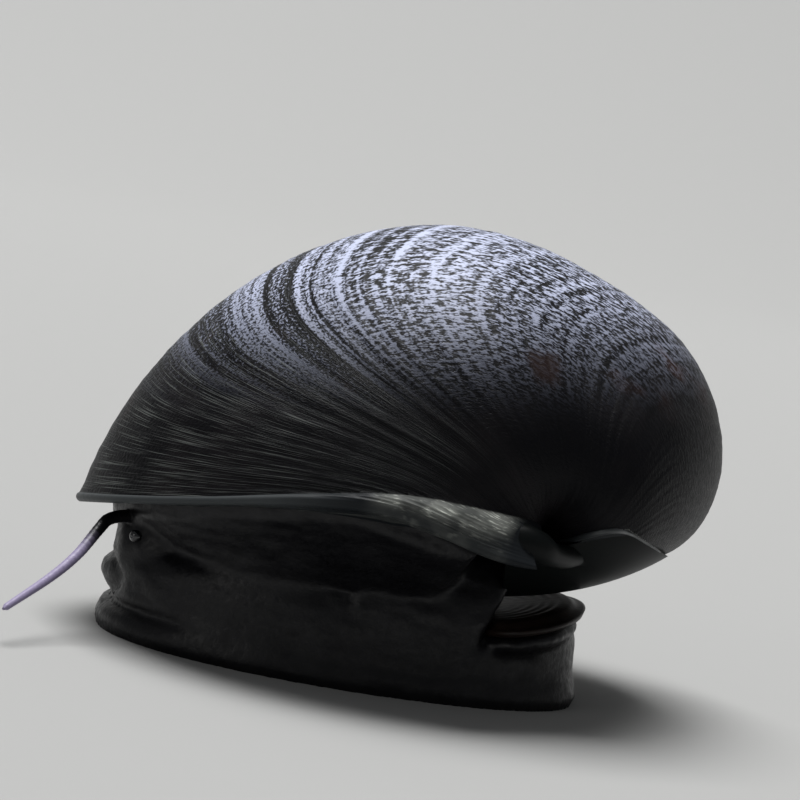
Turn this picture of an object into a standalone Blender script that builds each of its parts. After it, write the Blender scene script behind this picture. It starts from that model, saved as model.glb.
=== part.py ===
"""A crawling nerite snail, life size, with its helmet shell, foot, head and feelers.

The shell is one log-spiral: its mouth rim is turned about the coil axis and shrunk
towards the pole of the spiral. It is laid out in the rim frame, where x runs from the
front lip to the back, y to the snail's right and z up from the plane of the front rim.
The flesh is laid out in the world frame, with the sole flat on z = 0 and the head at -x.
"""

import math

import bmesh
import bpy
from mathutils import Matrix, Vector

MM = 0.001

# Driving sizes of the shell, in the rim frame.
POLE = Vector((19.106, 7.2, -0.396)) * MM
COLUMELLA_BASE = Vector((16.756, -7.99, -1.448)) * MM
COIL_AXIS = (POLE - COLUMELLA_BASE).normalized()
AWAY_FROM_AXIS = COIL_AXIS.cross(Vector((0.0, 0.0, -1.0))).normalized() * 0.5 * MM
GROWTH_PER_RADIAN = 0.303
BACK_FLATTENING = (0.057, math.radians(101.8), math.radians(24.1))
BELLY_FLATTENING = (0.314, math.radians(223.2), math.radians(33.7))
FLARE_CENTRE = Vector((16.6, -7.9, -1.4)) * MM
FLARE_SHIFT = Vector((0.6, -0.3, -1.0)) * MM
FLARE_RADIUS = 2.6 * MM
FLARE_GROWTH = math.radians(12)
BASE_NARROWING_PER_RADIAN = 0.04
BASE_ROUNDING = 12.0 * MM
GROWTH_STEP = math.radians(6)
RIDGE_HEIGHT = 0.006
SPIRE_RISE = 2.0 * MM
BASE_SHIFT = Vector((1.28, 0.0, 0.22)) * MM
BASE_SHIFT_REACH = 4.5 * MM
LIP_WALL = 0.5 * MM
MOUTH_DEPTH = math.radians(16)
DECK_EDGE = 16.7 * MM
DECK_CENTRE = Vector((18.0, -0.3, 0.55)) * MM
DECK_HALF_SIZE = (7.6, 6.3, 4.2)
DECK_TILT = math.radians(5.7)
BELLY_LEVEL = -2.2 * MM
CALLUS_LINE = Vector((20.6, -6.0, -0.94)) * MM
CALLUS_NORMAL = Vector((-0.2, 0.27, 0.94)).normalized()
CALLUS_FALL = Vector((21.72, -5.5, -1.08)) * MM
CALLUS_FALL_NORMAL = Vector((0.568, 0, 0.823))
BASE_KNOB = Vector((17.7, -7.7, -1.15)) * MM
BASE_KNOB_HALF_SIZE = (1.1, 0.7, 0.6)
APEX_RADIUS = 0.6
GAP = 0.3 * MM

# How the shell sits over the foot.
NOSE_DOWN = math.radians(10.5)
LEAN_TO_SPIRE = math.radians(4.0)
RIM_OVER_SOLE = Vector((-10.12, -0.8, 6.31)) * MM
RIM_TO_WORLD = (
    Matrix.Rotation(-LEAN_TO_SPIRE, 4, "X")
    @ Matrix.Rotation(-NOSE_DOWN, 4, "Y")
    @ Matrix.Translation(RIM_OVER_SOLE)
)

# Driving sizes of the flesh, in the world frame.
SOLE_HALF_LENGTH = 9.75 * MM
SOLE_HALF_WIDTH = 6.3 * MM
SOLE_THICKNESS = 1.1 * MM
FOOT_TOP = 3.4 * MM
HEAD_BACK = -6.3 * MM
TAIL_STEP = Vector((4.75, 0, 2.1)) * MM
TAIL_SLOPE = math.radians(15.6)
LID_PLACE = Vector((6.85, -0.4, 3.0)) * MM
LID_THICKNESS = 0.7 * MM
LID_HALF_WIDTH = 4.7 * MM
LID_AHEAD = 2.1 * MM
LID_BEHIND = 2.7 * MM
NECK_INSET = 1.4 * MM
NECK_TOP = -0.6 * MM
NECK_BEHIND = 1.0 * MM
NECK_FOOT = Vector((-0.4, 0, 3.7)) * MM
NECK_FOOT_RADIUS = 5.6 * MM
SNOUT_PLACE = Vector((-8.75, 0, 2.1)) * MM
SNOUT_HALF_SIZE = (1.0, 2.3, 0.68)
FEELER_STEPS = 60
FEELER_ROOT_RADIUS = 0.27 * MM
FEELER_TIP_RADIUS = 0.13 * MM
LEFT_FEELER = (
    (-9.45, -3.3, 4.35),
    (-9.7, -3.8, 4.0),
    (-10.2, -5.2, 3.1),
    (-10.9, -6.6, 2.3),
    (-12.1, -9.2, 1.3),
)
RIGHT_FEELER = (
    (-8.7, 4.0, 3.9),
    (-8.8, 4.7, 3.7),
    (-8.9, 6.2, 3.1),
    (-8.9, 8.0, 2.4),
    (-8.5, 10.9, 1.7),
)
STALK_RADIUS = 0.34 * MM
EYE_RADIUS = 0.24 * MM


def clear_scene():
    for old in list(bpy.data.objects):
        bpy.data.objects.remove(old)


def material(name, colour, roughness):
    made = bpy.data.materials.new(name)
    made.use_nodes = True
    shader = made.node_tree.nodes["Principled BSDF"]
    shader.inputs["Base Color"].default_value = (*colour, 1.0)
    shader.inputs["Roughness"].default_value = roughness
    shader.inputs["Metallic"].default_value = 0.0
    return made


def add_object(name, bm, finish=None):
    """A smooth-shaded object from a bmesh, which is freed."""
    bmesh.ops.recalc_face_normals(bm, faces=bm.faces)
    mesh = bpy.data.meshes.new(name)
    bm.to_mesh(mesh)
    bm.free()
    mesh.shade_smooth()
    mesh.set_sharp_from_angle(angle=math.radians(40))
    made = bpy.data.objects.new(name, mesh)
    bpy.context.scene.collection.objects.link(made)
    if finish:
        mesh.materials.append(finish)
    return made


def boolean(target, others, operation):
    """Applies one Boolean of closed meshes to the target, then removes them."""
    tools = bpy.data.collections.new("tools")
    bpy.context.scene.collection.children.link(tools)
    for other in others:
        tools.objects.link(other)
    cut = target.modifiers.new("join", "BOOLEAN")
    cut.operation = operation
    cut.operand_type = "COLLECTION"
    cut.collection = tools
    cut.solver = "MANIFOLD"
    bpy.context.view_layer.update()
    graph = bpy.context.evaluated_depsgraph_get()
    target_mesh = bpy.data.meshes.new_from_object(target.evaluated_get(graph), depsgraph=graph)
    target.modifiers.clear()
    target.data = target_mesh
    for other in others:
        bpy.data.objects.remove(other)
    bpy.data.collections.remove(tools)
    keep_outer_surface(target)


def keep_outer_surface(made):
    """Drops the closed bubbles and crumbs that a join can leave, so one surface stays."""
    bm = bmesh.new()
    bm.from_mesh(made.data)
    left = set(bm.faces)
    surfaces = []
    while left:
        found = {left.pop()}
        edge_of_search = list(found)
        while edge_of_search:
            face = edge_of_search.pop()
            near = {f for e in face.edges for f in e.link_faces} & left
            left -= near
            found |= near
            edge_of_search += near
        surfaces.append(found)
    surfaces.sort(key=len)
    crumbs = [face for surface in surfaces[:-1] for face in surface]
    bmesh.ops.delete(bm, geom=crumbs, context="FACES")
    bm.to_mesh(made.data)
    bm.free()


def smooth_curve(points, per_span):
    """A smooth curve through the points, with per_span steps from each to the next."""
    knots = [2 * points[0] - points[1], *points, 2 * points[-1] - points[-2]]
    curve = []
    for a, b, c, d in zip(knots, knots[1:], knots[2:], knots[3:]):
        for step in range(per_span):
            t = step / per_span
            bend = (2 * a - 5 * b + 4 * c - d) * t**2 + (3 * b - a - 3 * c + d) * t**3
            curve.append(0.5 * (2 * b + (c - a) * t + bend))
    return [*curve, points[-1]]


def evenly(curve, count):
    """The curve again as count points at equal distances."""
    lengths = [0.0]
    for a, b in zip(curve, curve[1:]):
        lengths.append(lengths[-1] + (b - a).length)
    even = []
    span = 0
    for step in range(count):
        want = lengths[-1] * step / (count - 1)
        while span < len(curve) - 2 and lengths[span + 1] < want:
            span += 1
        part = (want - lengths[span]) / (lengths[span + 1] - lengths[span])
        even.append(curve[span].lerp(curve[span + 1], part))
    return even


def start_ring(bm, points):
    """A closed loop of corners joined by edges."""
    corners = [bm.verts.new(point) for point in points]
    for a, b in zip(corners, corners[1:] + corners[:1]):
        bm.edges.new((a, b))
    return corners


def extrude_ring(bm, corners, points):
    """Extrudes a loop of corners and moves the copies to the points."""
    edges = [bm.edges.get(pair) for pair in zip(corners, corners[1:] + corners[:1])]
    made = bmesh.ops.extrude_edge_only(bm, edges=edges)["geom"]
    fresh = {v for v in made if isinstance(v, bmesh.types.BMVert)}
    copies = []
    for corner, point in zip(corners, points):
        across = [edge.other_vert(corner) for edge in corner.link_edges]
        copy = next(vert for vert in across if vert in fresh)
        copy.co = point
        copies.append(copy)
    return copies


def close_end(bm, corners):
    """Caps a loop of corners with a fan of triangles round its middle."""
    cap = bm.faces.new(corners)
    bmesh.ops.poke(bm, faces=[cap])


def loft(rings):
    """A closed solid skinned over rings that have the same number of points."""
    bm = bmesh.new()
    corners = start_ring(bm, rings[0])
    first = corners
    for points in rings[1:]:
        corners = extrude_ring(bm, corners, points)
    close_end(bm, first)
    close_end(bm, corners)
    return bm


def mouth_lip(count):
    """The rim of the shell's mouth, from the columella round the front to the suture."""
    near = (
        (14.6, -9.0, -1.15),
        (12.0, -9.4, 0.0),
        (9.0, -8.9, 0.35),
        (5.5, -7.4, 0.3),
        (2.4, -4.8, 0.2),
        (0.5, -1.8, 0.1),
        (0.0, 0.8, 0.0),
    )
    front = Vector((0.9, 3.8, 0.0)) * MM
    far = (
        (3.2, 7.3, 0.0),
        (6.6, 10.2, 0.0),
        (10.6, 12.0, 0.0),
        (14.8, 12.3, 0.1),
        (17.1, 10.8, 0.3),
        (16.9, 8.9, -0.24),
    )
    turn_size = math.exp(-2 * math.pi * GROWTH_PER_RADIAN)
    suture = POLE + (front - POLE) * turn_size + COIL_AXIS * SPIRE_RISE * (1 - turn_size)
    points = [COLUMELLA_BASE + AWAY_FROM_AXIS, *(Vector(p) * MM for p in near), front]
    points += [*(Vector(p) * MM for p in far), suture]
    return evenly(smooth_curve(points, 8), count)


def whorl_section(count):
    """The lip closed along the coil axis, which it stays just short of."""
    inner = []
    for share in (0.1, 0.25, 0.45, 0.7):
        inner.append(POLE.lerp(COLUMELLA_BASE, share) + AWAY_FROM_AXIS * share)
    return [*mouth_lip(count), *inner]


def size_at(angle):
    """How big the growing shell was, angle radians before the present lip."""
    size = math.exp(-GROWTH_PER_RADIAN * angle)
    for depth, place, width in (BACK_FLATTENING, BELLY_FLATTENING):
        size *= 1 - depth * math.exp(-(((angle - place) / width) ** 2))
    return size


def eased(value, start, end):
    """0 before start, 1 after end, and a smooth rise between."""
    share = min(max((value - start) / (end - start), 0.0), 1.0)
    return share * share * (3 - 2 * share)


def grown(points, angle, share=1.0):
    """The points as they were angle radians of growth ago, with the base broad and set back."""
    turn = Matrix.Rotation(angle, 3, COIL_AXIS)
    broad = math.exp(-BASE_NARROWING_PER_RADIAN * angle) - math.exp(-GROWTH_PER_RADIAN * angle)
    broad *= 1 - eased(angle, math.radians(230), math.radians(330))
    rise = COIL_AXIS * SPIRE_RISE * (1 - math.exp(-GROWTH_PER_RADIAN * angle))
    moved = []
    for point in points:
        reach = (point - FLARE_CENTRE).length / FLARE_RADIUS
        flare = FLARE_SHIFT * math.exp(-(reach**2) - angle / FLARE_GROWTH)
        out = size_at(angle) * share * (turn @ (point + flare - POLE))
        along = min((point - POLE).dot(COIL_AXIS), 0.0)
        out += COIL_AXIS * along * broad * (1 - math.exp(-((along / BASE_ROUNDING) ** 2)))
        place = POLE + out + rise
        near = (place - COLUMELLA_BASE).length / BASE_SHIFT_REACH
        moved.append(place + BASE_SHIFT * math.exp(-(near**2)))
    return moved


def horn(section, first, last, share=1.0):
    """One length of the spiral, from first to last, both in growth steps."""
    rings = []
    for step in range(first, last + 1):
        ridge = 1 + RIDGE_HEIGHT * (step % 2) * (step > 2)
        rings.append(grown(section, step * GROWTH_STEP, share * ridge))
    return loft(rings)


def blob(centre, half_size, rings=16, segments=24):
    """An ellipsoid with its poles at the two ends of x."""
    bm = bmesh.new()
    bmesh.ops.create_uvsphere(bm, u_segments=segments, v_segments=rings, radius=MM)
    bmesh.ops.rotate(bm, verts=bm.verts, matrix=Matrix.Rotation(math.radians(90), 3, "Y"))
    bmesh.ops.scale(bm, verts=bm.verts, vec=half_size)
    bmesh.ops.translate(bm, verts=bm.verts, vec=centre)
    return bm


def cut_flat(bm, point, normal):
    """Removes what lies on the normal's side of a plane and closes the cut."""
    geometry = [*bm.verts, *bm.edges, *bm.faces]
    cut = bmesh.ops.bisect_plane(bm, geom=geometry, plane_co=point, plane_no=normal, clear_outer=True)
    rim = [e for e in cut["geom_cut"] if isinstance(e, bmesh.types.BMEdge)]
    bmesh.ops.contextual_create(bm, geom=rim)


def mouth_outline(inset, count=44):
    """The mouth's D shape, drawn in from the lip by the inset."""
    lip = mouth_lip(count - 6)
    outline = [*lip, *(lip[-1].lerp(lip[0], step / 7) for step in range(1, 7))]
    middle = sum(outline, Vector()) / count
    drawn_in = []
    for point in outline:
        spoke = point - middle
        drawn_in.append(middle + spoke * (1 - inset / spoke.length))
    return drawn_in


def deck():
    """The flat callus that closes the back of the mouth from below."""
    bm = blob(Vector(), DECK_HALF_SIZE)
    bmesh.ops.rotate(bm, verts=bm.verts, matrix=Matrix.Rotation(-DECK_TILT, 3, "Y"))
    bmesh.ops.translate(bm, verts=bm.verts, vec=DECK_CENTRE)
    cut_flat(bm, Vector((DECK_EDGE, 0, 0)), Vector((-1, 0, 0)))
    cut_flat(bm, CALLUS_LINE, CALLUS_NORMAL)
    cut_flat(bm, CALLUS_FALL, CALLUS_FALL_NORMAL)
    return bm


def block(low, high, turn=None, place=None):
    """A box between two opposite corners in mm, then turned and moved to its place."""
    low, high = Vector(low) * MM, Vector(high) * MM
    bm = bmesh.new()
    bmesh.ops.create_cube(bm, size=1.0)
    bmesh.ops.scale(bm, verts=bm.verts, vec=high - low)
    bmesh.ops.translate(bm, verts=bm.verts, vec=(low + high) / 2)
    if turn:
        bmesh.ops.rotate(bm, verts=bm.verts, matrix=turn)
        bmesh.ops.translate(bm, verts=bm.verts, vec=place)
    return bm


def mouth_hollow():
    outline = mouth_outline(LIP_WALL)
    return loft([grown(outline, MOUTH_DEPTH * share) for share in (-0.5, 0, 0.4, 0.7, 1.0)])


def coil():
    """The whole spiral, in three lengths joined into one."""
    section = whorl_section(40)
    whorl = add_object("shell", horn(section, 0, 40))
    middle = add_object("middle_whorl", horn(section, 38, 78, 0.985))
    early = add_object("early_whorl", horn(section[::2], 76, 116, 0.95))
    boolean(whorl, [middle, early], "UNION")
    return whorl


def shell(finish):
    whorl = coil()
    whorl.data.materials.append(finish)
    to_callus = Vector((0, 0, 1)).rotation_difference(CALLUS_NORMAL).to_matrix()
    belly = block((15, -12, -9), (30, 14, BELLY_LEVEL / MM))
    under = block((-3.1, -9, -8), (12, 9, 0), to_callus, CALLUS_LINE)
    boolean(whorl, [add_object("belly", belly), add_object("under", under)], "DIFFERENCE")
    apex = blob(POLE + COIL_AXIS * (SPIRE_RISE - 0.1 * MM), [APEX_RADIUS] * 3, 8, 12)
    base = blob(BASE_KNOB, BASE_KNOB_HALF_SIZE, 8, 12)
    added = [add_object("callus", deck()), add_object("apex", apex), add_object("base", base)]
    boolean(whorl, added, "UNION")
    boolean(whorl, [add_object("hollow", mouth_hollow())], "DIFFERENCE")
    whorl.data.transform(RIM_TO_WORLD)


def sole_ring(height, size, count=40):
    """The foot's outline, a little broader in front, at a height and a share of full size."""
    points = []
    for step in range(count):
        turn = 2 * math.pi * step / count
        x = -math.cos(turn)
        y = math.sin(turn) * abs(math.sin(turn)) ** -0.15 if step % (count // 2) else 0.0
        across = SOLE_HALF_WIDTH * (1 - 0.12 * x)
        points.append(Vector((x * SOLE_HALF_LENGTH * size, y * across * size, height)))
    return points


def foot_sole(finish):
    edge = ((0.0, 0.965), (0.2, 0.99), (0.5, 1.0), (0.85, 0.99), (1.0, 0.965))
    rings = [sole_ring(SOLE_THICKNESS * share, size) for share, size in edge]
    add_object("foot_sole", loft(rings), finish)


def foot(finish):
    """The foot above the sole, cut away for the head and over the tail."""
    low = SOLE_THICKNESS + GAP
    heights = (low, low + 0.2 * MM, 2.4 * MM, 3.1 * MM, FOOT_TOP)
    sizes = (0.955, 0.975, 0.965, 0.95, 0.92)
    rings = [sole_ring(height, size) for height, size in zip(heights, sizes)]
    made = add_object("foot", loft(rings), finish)
    front = block((-12, -9, 0), (HEAD_BACK / MM + 0.3, 9, 9))
    over = block((0, -9, 0), (9, 9, 5), Matrix.Rotation(-TAIL_SLOPE, 3, "Y"), TAIL_STEP)
    boolean(made, [add_object("front", front), add_object("over", over)], "DIFFERENCE")


def operculum(finish):
    """The half-moon lid, carried on the tail under the deck."""
    rings = []
    for share, size in ((0.0, 0.94), (0.25, 1.0), (0.75, 1.0), (1.0, 0.94)):
        height = Vector((0, 0, LID_THICKNESS * share))
        points = []
        for step in range(32):
            turn = 2 * math.pi * step / 32
            reach = LID_BEHIND if math.cos(turn) > 0 else LID_AHEAD
            point = Vector((math.cos(turn) * reach, math.sin(turn) * LID_HALF_WIDTH, 0))
            points.append(point * size + height)
        rings.append(points)
    bm = loft(rings)
    bmesh.ops.rotate(bm, verts=bm.verts, matrix=Matrix.Rotation(-TAIL_SLOPE, 3, "Y"))
    bmesh.ops.translate(bm, verts=bm.verts, vec=LID_PLACE)
    add_object("operculum", bm, finish)


def rim_to_world(points):
    return [RIM_TO_WORLD @ point for point in points]


def mantle(finish):
    """The body and mantle edge that fill the mouth, drawn in from the shell by the gap."""
    outline = mouth_outline(LIP_WALL + GAP + 0.1 * MM)
    rings = []
    for share, size in ((0.12, 0.9), (0.14, 0.98), (0.3, 1.0), (0.55, 1.0), (0.75, 0.97)):
        ring = grown(outline, MOUTH_DEPTH * share)
        middle = sum(ring, Vector()) / len(ring)
        rings.append([middle + (point - middle) * size for point in ring])
    add_object("mantle", loft([rim_to_world(ring) for ring in rings]), finish)


def neck(finish):
    """The column of the body between the foot and the mantle, drawn out to the deck's edge."""
    top = mouth_outline(NECK_INSET)
    middle = sum(top, Vector()) / len(top)
    rings = []
    for share in (0.0, 0.2, 0.6, 1.0):
        ring = []
        for point in top:
            spoke = point - middle
            around = Vector((spoke.x, spoke.y, 0)).normalized()
            behind = max(around.x, 0.0)
            upper = RIM_TO_WORLD @ (point + Vector((NECK_BEHIND * behind**4, 0, NECK_TOP)))
            upper.x = max(upper.x, HEAD_BACK + GAP)
            lower = NECK_FOOT + around * (NECK_FOOT_RADIUS + 0.45 * NECK_BEHIND * behind)
            ring.append(lower.lerp(upper, share))
        rings.append(ring)
    add_object("neck", loft(rings), finish)


def head(finish):
    """The head behind the snout, as rounded cross-sections from the neck forwards."""
    sections = (
        (-6.3, 3.7, 1.5, 5.2),
        (-7.0, 3.95, 1.4, 5.15),
        (-8.1, 3.6, 1.4, 5.0),
        (-8.9, 2.9, 1.55, 4.8),
        (-9.3, 1.7, 2.0, 4.4),
    )
    rings = []
    for x, half_width, bottom, top in sections:
        middle, half_height = (top + bottom) / 2, (top - bottom) / 2
        ring = []
        for step in range(28):
            turn = 2 * math.pi * step / 28
            rise = math.copysign(abs(math.sin(turn)) ** 0.75, math.sin(turn))
            ring.append(Vector((x, half_width * math.cos(turn), middle + half_height * rise)) * MM)
        rings.append(ring)
    made = add_object("head", loft(rings), finish)
    boolean(made, [add_object("room", snout_blob(GAP / MM))], "DIFFERENCE")


def snout_blob(margin):
    """The snout's egg shape, larger by a margin in mm."""
    return blob(SNOUT_PLACE, [half + margin for half in SNOUT_HALF_SIZE], 12, 20)


def snout(finish):
    made = add_object("snout", snout_blob(0.0), finish)
    slit = blob(Vector((-9.6, 0, 1.75)) * MM, (0.4, 0.75, 0.14), 8, 12)
    boolean(made, [add_object("slit", slit)], "DIFFERENCE")


def feeler_ring(curve, step):
    """A ring round the curve at a step, thinner towards the tip."""
    ahead = (curve[min(step + 1, FEELER_STEPS)] - curve[max(step - 1, 0)]).normalized()
    across = ahead.cross(Vector((0, 0, 1))).normalized()
    up = across.cross(ahead)
    share = step / FEELER_STEPS
    radius = FEELER_ROOT_RADIUS + (FEELER_TIP_RADIUS - FEELER_ROOT_RADIUS) * share
    ring = []
    for corner in range(10):
        turn = 2 * math.pi * corner / 10
        ring.append(curve[step] + radius * (across * math.cos(turn) + up * math.sin(turn)))
    return ring


def feeler(side, path, finish):
    """One feeler in three lengths, each tapering on from the one before."""
    points = [Vector(point) * MM for point in path]
    curve = evenly(smooth_curve(points, 8), FEELER_STEPS + 1)
    for name, first, last in (("base", 0, 18), ("mid", 21, 39), ("tip", 42, 60)):
        rings = [feeler_ring(curve, step) for step in range(first, last + 1, 3)]
        add_object(f"tentacle_{side}_{name}", loft(rings), finish)


def eye(side, place, outward, flesh, black):
    """A short stalk at the feeler's root, and the eye on it."""
    place = Vector(place) * MM
    add_object(f"eye_stalk_{side}", blob(place, [STALK_RADIUS / MM] * 3, 8, 12), flesh)
    ball = place + Vector(outward).normalized() * (STALK_RADIUS + GAP + EYE_RADIUS)
    add_object(f"eye_{side}", blob(ball, [EYE_RADIUS / MM] * 3, 8, 12), black)


clear_scene()
shell_black = material("shell_black", (0.012, 0.012, 0.017), 0.38)
flesh_black = material("flesh_black", (0.01, 0.01, 0.012), 0.32)
feeler_lavender = material("feeler_lavender", (0.24, 0.2, 0.3), 0.4)
lid_brown = material("lid_brown", (0.05, 0.03, 0.02), 0.35)
eye_black = material("eye_black", (0.004, 0.004, 0.005), 0.12)

shell(shell_black)
foot_sole(flesh_black)
foot(flesh_black)
operculum(lid_brown)
mantle(flesh_black)
neck(flesh_black)
head(flesh_black)
snout(flesh_black)
feeler("left", LEFT_FEELER, feeler_lavender)
feeler("right", RIGHT_FEELER, feeler_lavender)
eye("left", (-8.0, -4.2, 4.0), (-0.2, -1.0, 0.2), flesh_black, eye_black)
eye("right", (-7.4, 4.55, 3.7), (-0.2, 1.0, 0.2), flesh_black, eye_black)
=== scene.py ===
"""The finished look of a crawling nerite snail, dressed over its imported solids.

The shell is grown again with the same formulas as its solid, in far finer steps, and one
soft skin takes the place of the flesh. Everything is in metres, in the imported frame: the
sole on z = 0, the head towards -x and the snail's right towards +y.
"""

import math

import bmesh
import bpy
from mathutils import Matrix, Vector, noise


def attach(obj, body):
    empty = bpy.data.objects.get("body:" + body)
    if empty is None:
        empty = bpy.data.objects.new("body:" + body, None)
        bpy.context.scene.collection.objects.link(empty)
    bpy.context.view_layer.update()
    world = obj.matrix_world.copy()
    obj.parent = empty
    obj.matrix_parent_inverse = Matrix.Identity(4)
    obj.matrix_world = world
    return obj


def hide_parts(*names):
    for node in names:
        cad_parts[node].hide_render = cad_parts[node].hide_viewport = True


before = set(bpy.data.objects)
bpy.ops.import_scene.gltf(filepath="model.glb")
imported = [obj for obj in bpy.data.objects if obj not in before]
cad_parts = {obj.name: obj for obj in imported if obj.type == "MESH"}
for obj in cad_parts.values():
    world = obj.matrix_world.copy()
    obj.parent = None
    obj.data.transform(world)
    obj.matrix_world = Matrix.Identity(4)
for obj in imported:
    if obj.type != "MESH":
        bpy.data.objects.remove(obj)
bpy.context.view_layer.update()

# The shell: one log-spiral of black, horny-skinned lime, laid down a hair's breadth at a
# time along the lip of the mouth. Each step turns the lip about the coil axis and shrinks
# it towards the pole; the base is kept broad, and the lip is flared below the columella.
MM = 0.001
POLE = Vector((19.106, 7.2, -0.396)) * MM
COLUMELLA_BASE = Vector((16.756, -7.99, -1.448)) * MM
COIL_AXIS = (POLE - COLUMELLA_BASE).normalized()
AWAY_FROM_AXIS = COIL_AXIS.cross(Vector((0.0, 0.0, -1.0))).normalized() * 0.5 * MM
GROWTH_PER_RADIAN = 0.303
BACK_FLATTENING = (0.057, math.radians(101.8), math.radians(24.1))
BELLY_FLATTENING = (0.314, math.radians(223.2), math.radians(33.7))
FLARE_CENTRE = Vector((16.6, -7.9, -1.4)) * MM
FLARE_SHIFT = Vector((0.6, -0.3, -1.0)) * MM
FLARE_RADIUS = 2.6 * MM
FLARE_GROWTH = math.radians(12)
BASE_NARROWING_PER_RADIAN = 0.04
BASE_ROUNDING = 12.0 * MM
SPIRE_RISE = 2.0 * MM
BASE_SHIFT = Vector((1.28, 0.0, 0.22)) * MM
BASE_SHIFT_REACH = 4.5 * MM
BELLY_LEVEL = -2.5 * MM
BELLY_ROUNDING = 0.5 * MM
BELLY_FROM, BELLY_TO = 14.5 * MM, 17.5 * MM
LIP_GRADE = 1.3
LIP_ROUNDING = 0.13 * MM
LIP_ROUNDED_OVER = math.radians(0.9)
LINE_LEAN = 20.0
LEAN_ENDS_AT = 0.56
RIDGE_HEIGHTS = (0.035, 0.045)
ROLL_DEGREES = 1.1
ROLL_DEGREES_AT_BASE = 85.0
ROLL_THICKNESS = 0.1
ROLL_THICKNESS_AT_BASE = 0.3
RIM_TO_WORLD = (
    Matrix.Rotation(math.radians(-4.0), 4, "X")
    @ Matrix.Rotation(math.radians(-10.5), 4, "Y")
    @ Matrix.Translation(Vector((-10.12, -0.8, 6.31)) * MM)
)
RIM_UP = RIM_TO_WORLD.to_3x3() @ Vector((0, 0, 1))


def eased(value, start, end):
    """0 before start, 1 after end, and a smooth rise between."""
    share = min(max((value - start) / (end - start), 0.0), 1.0)
    return share * share * (3 - 2 * share)


def smooth_curve(points, per_span):
    """A smooth curve through the points, with per_span steps from each to the next."""
    knots = [2 * points[0] - points[1], *points, 2 * points[-1] - points[-2]]
    curve = []
    for a, b, c, d in zip(knots, knots[1:], knots[2:], knots[3:]):
        for step in range(per_span):
            t = step / per_span
            bend = (2 * a - 5 * b + 4 * c - d) * t**2 + (3 * b - a - 3 * c + d) * t**3
            curve.append(0.5 * (2 * b + (c - a) * t + bend))
    return [*curve, points[-1]]


def evenly(curve, count, grade=1.0):
    """The curve again as count points, at equal distances or closer together at its start."""
    lengths = [0.0]
    for a, b in zip(curve, curve[1:]):
        lengths.append(lengths[-1] + (b - a).length)
    even = []
    span = 0
    for step in range(count):
        want = lengths[-1] * (step / (count - 1)) ** grade
        while span < len(curve) - 2 and lengths[span + 1] < want:
            span += 1
        part = (want - lengths[span]) / (lengths[span + 1] - lengths[span])
        even.append(curve[span].lerp(curve[span + 1], part))
    return even


def mouth_lip(count, grade=1.0):
    """The rim of the mouth, from the columella round the front to the suture."""
    near = (
        (14.6, -9.0, -1.15),
        (12.0, -9.4, 0.0),
        (9.0, -8.9, 0.35),
        (5.5, -7.4, 0.3),
        (2.4, -4.8, 0.2),
        (0.5, -1.8, 0.1),
        (0.0, 0.8, 0.0),
    )
    front = Vector((0.9, 3.8, 0.0)) * MM
    far = (
        (3.2, 7.3, 0.0),
        (6.6, 10.2, 0.0),
        (10.6, 12.0, 0.0),
        (14.8, 12.3, 0.1),
        (17.1, 10.8, 0.3),
        (16.9, 8.9, -0.24),
    )
    turn_size = math.exp(-2 * math.pi * GROWTH_PER_RADIAN)
    suture = POLE + (front - POLE) * turn_size + COIL_AXIS * SPIRE_RISE * (1 - turn_size)
    points = [COLUMELLA_BASE + AWAY_FROM_AXIS, *(Vector(p) * MM for p in near), front]
    points += [*(Vector(p) * MM for p in far), suture]
    return evenly(smooth_curve(points, 24), count, grade)


def whorl_section(count):
    """The lip closed along the coil axis, which it stays just short of."""
    inner = []
    for share in (0.1, 0.25, 0.45, 0.7):
        inner.append(POLE.lerp(COLUMELLA_BASE, share) + AWAY_FROM_AXIS * share)
    return [*mouth_lip(count, LIP_GRADE), *inner]


def size_at(angle):
    """How big the growing shell was, angle radians before the present lip."""
    size = math.exp(-GROWTH_PER_RADIAN * angle)
    for depth, place, width in (BACK_FLATTENING, BELLY_FLATTENING):
        size *= 1 - depth * math.exp(-(((angle - place) / width) ** 2))
    return size


def grown(points, angle, share=1.0):
    """The points as they were angle radians of growth ago, with the base kept broad."""
    turn = Matrix.Rotation(angle, 3, COIL_AXIS)
    broad = math.exp(-BASE_NARROWING_PER_RADIAN * angle) - math.exp(-GROWTH_PER_RADIAN * angle)
    broad *= 1 - eased(angle, math.radians(230), math.radians(330))
    rise = COIL_AXIS * SPIRE_RISE * (1 - math.exp(-GROWTH_PER_RADIAN * angle))
    moved = []
    for point in points:
        reach = (point - FLARE_CENTRE).length / FLARE_RADIUS
        flare = FLARE_SHIFT * math.exp(-(reach**2) - angle / FLARE_GROWTH)
        out = size_at(angle) * share * (turn @ (point + flare - POLE))
        along = min((point - POLE).dot(COIL_AXIS), 0.0)
        out += COIL_AXIS * along * broad * (1 - math.exp(-((along / BASE_ROUNDING) ** 2)))
        place = POLE + out + rise
        near = (place - COLUMELLA_BASE).length / BASE_SHIFT_REACH
        moved.append(flattened_below(place + BASE_SHIFT * math.exp(-(near**2))))
    return moved


def flattened_below(place):
    """Presses what would hang below the flat belly up to it, with a rounded edge."""
    above = place.z - BELLY_LEVEL
    pressed = (above + math.sqrt(above**2 + BELLY_ROUNDING**2)) / 2
    pressed = above + (pressed - above) * eased(place.x, BELLY_FROM, BELLY_TO)
    return Vector((place.x, place.y, BELLY_LEVEL + pressed))


def growth_line(angle, along):
    """Which growth line a place lies on, in degrees: the lines lean forward low on the side."""
    lean = LINE_LEAN * math.sin(math.pi * min(along / LEAN_ENDS_AT, 1.0))
    lean *= 1 - eased(along, 0.3, LEAN_ENDS_AT)
    return math.degrees(angle) + lean * eased(angle, 0.0, math.radians(70))


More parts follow.
